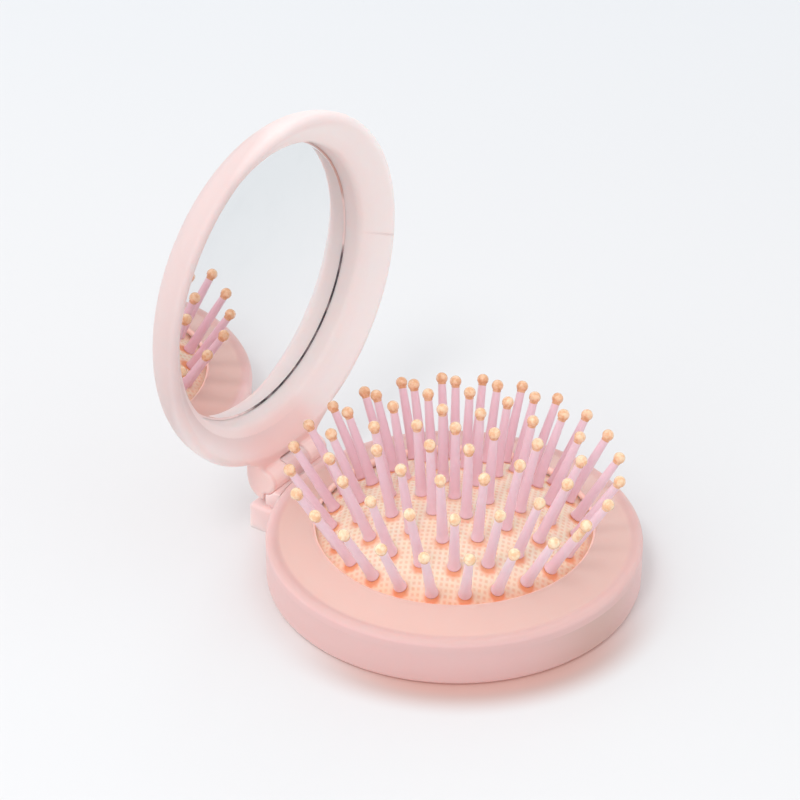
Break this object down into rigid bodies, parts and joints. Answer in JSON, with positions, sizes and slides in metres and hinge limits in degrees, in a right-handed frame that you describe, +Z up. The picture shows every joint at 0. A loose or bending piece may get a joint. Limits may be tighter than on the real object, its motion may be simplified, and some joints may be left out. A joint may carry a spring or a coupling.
{
  "type": "folding hairbrush with mirror",
  "caption": "Round compact hairbrush: a frosted casing with a domed rubber pad of ball-tipped pins and a hinged lid with a recessed mirror.",
  "frame": {"origin": "centre of the flat ring the base rests on", "axes": "+Z up out of the brush, +Y towards the hinge, +X along the hinge axis"},
  "size_m": [0.0692, 0.0812, 0.0812],
  "materials": {
    "casing_pink": "frosted translucent, satin",
    "pad_rubber": "matt, fine square emboss",
    "pin_nylon": "smooth, slightly translucent",
    "tip_resin": "glossy",
    "hinge_steel": "drawn wire",
    "mirror_silver": "polished",
    "tape_white": "double-sided foam tape"
  },
  "bodies": {
    "base": {"base_shell": "casing_pink", "top_bezel": "casing_pink", "cushion_pad": "pad_rubber", "pad_retainer": "casing_pink", "hinge_pin": "hinge_steel"},
    "lid": {"lid_frame": "casing_pink", "lid_back": "casing_pink", "mirror_glass": "mirror_silver", "mirror_tape": "tape_white"},
    "pins_middle": {"pins_centre": "pin_nylon", "tips_centre": "tip_resin", "pins_ring_1": "pin_nylon", "tips_ring_1": "tip_resin"},
    "pins_second": {"pins_ring_2": "pin_nylon", "tips_ring_2": "tip_resin"},
    "pins_third": {"pins_ring_3": "pin_nylon", "tips_ring_3": "tip_resin"},
    "pins_edge_1": {"pins_outer_1": "pin_nylon", "tips_outer_1": "tip_resin"},
    "pins_edge_2": {"pins_outer_2": "pin_nylon", "tips_outer_2": "tip_resin"},
    "pins_edge_3": {"pins_outer_3": "pin_nylon", "tips_outer_3": "tip_resin"},
    "pins_edge_4": {"pins_outer_4": "pin_nylon", "tips_outer_4": "tip_resin"},
    "pins_edge_5": {"pins_outer_5": "pin_nylon", "tips_outer_5": "tip_resin"},
    "pins_edge_6": {"pins_outer_6": "pin_nylon", "tips_outer_6": "tip_resin"},
    "pins_edge_7": {"pins_outer_7": "pin_nylon", "tips_outer_7": "tip_resin"},
    "pins_edge_8": {"pins_outer_8": "pin_nylon", "tips_outer_8": "tip_resin"}
  },
  "joints": [
    {"name": "lid_hinge", "type": "hinge", "parent": "base", "child": "lid", "pos_m": [0, 0.0373, 0.0099], "axis": [1, 0, 0], "range_deg": [0, 88], "deforming": ["cushion_pad"]},
    {"name": "middle_slide", "type": "slide", "parent": "base", "child": "pins_middle", "axis": [0, 0, -1], "range_m": [0, 0.01491]},
    {"name": "second_slide", "type": "slide", "parent": "base", "child": "pins_second", "axis": [0, 0, -1], "range_m": [0, 0.01331]},
    {"name": "third_slide", "type": "slide", "parent": "base", "child": "pins_third", "axis": [0, 0, -1], "range_m": [0, 0.01151]},
    {"name": "edge_1_roll", "type": "hinge", "parent": "base", "child": "pins_edge_1", "pos_m": [0.0509, 0.00761, 0.0054], "axis": [0.1478, -0.989, 0], "range_deg": [0, 17.61]},
    {"name": "edge_2_roll", "type": "hinge", "parent": "base", "child": "pins_edge_2", "pos_m": [0.03061, 0.04137, 0.0054], "axis": [0.8039, -0.5948, 0], "range_deg": [0, 17.61]},
    {"name": "edge_3_roll", "type": "hinge", "parent": "base", "child": "pins_edge_3", "pos_m": [-0.00761, 0.0509, 0.0054], "axis": [0.989, 0.1478, 0], "range_deg": [0, 17.61]},
    {"name": "edge_4_roll", "type": "hinge", "parent": "base", "child": "pins_edge_4", "pos_m": [-0.04137, 0.03061, 0.0054], "axis": [0.5948, 0.8039, 0], "range_deg": [0, 17.61]},
    {"name": "edge_5_roll", "type": "hinge", "parent": "base", "child": "pins_edge_5", "pos_m": [-0.0509, -0.00761, 0.0054], "axis": [-0.1478, 0.989, 0], "range_deg": [0, 17.61]},
    {"name": "edge_6_roll", "type": "hinge", "parent": "base", "child": "pins_edge_6", "pos_m": [-0.03061, -0.04137, 0.0054], "axis": [-0.8039, 0.5948, 0], "range_deg": [0, 17.61]},
    {"name": "edge_7_roll", "type": "hinge", "parent": "base", "child": "pins_edge_7", "pos_m": [0.00761, -0.0509, 0.0054], "axis": [-0.989, -0.1478, 0], "range_deg": [0, 17.61]},
    {"name": "edge_8_roll", "type": "hinge", "parent": "base", "child": "pins_edge_8", "pos_m": [0.04137, -0.03061, 0.0054], "axis": [-0.5948, -0.8039, 0], "range_deg": [0, 17.61]}
  ],
  "couplings": [
    {"joint": "middle_slide", "follows": "lid_hinge", "m_per_rad": 0.0097012},
    {"joint": "second_slide", "follows": "lid_hinge", "m_per_rad": 0.0086595},
    {"joint": "third_slide", "follows": "lid_hinge", "m_per_rad": 0.0074875},
    {"joint": "edge_1_roll", "follows": "lid_hinge", "ratio": 0.2},
    {"joint": "edge_2_roll", "follows": "lid_hinge", "ratio": 0.2},
    {"joint": "edge_3_roll", "follows": "lid_hinge", "ratio": 0.2},
    {"joint": "edge_4_roll", "follows": "lid_hinge", "ratio": 0.2},
    {"joint": "edge_5_roll", "follows": "lid_hinge", "ratio": 0.2},
    {"joint": "edge_6_roll", "follows": "lid_hinge", "ratio": 0.2},
    {"joint": "edge_7_roll", "follows": "lid_hinge", "ratio": 0.2},
    {"joint": "edge_8_roll", "follows": "lid_hinge", "ratio": 0.2}
  ]
}
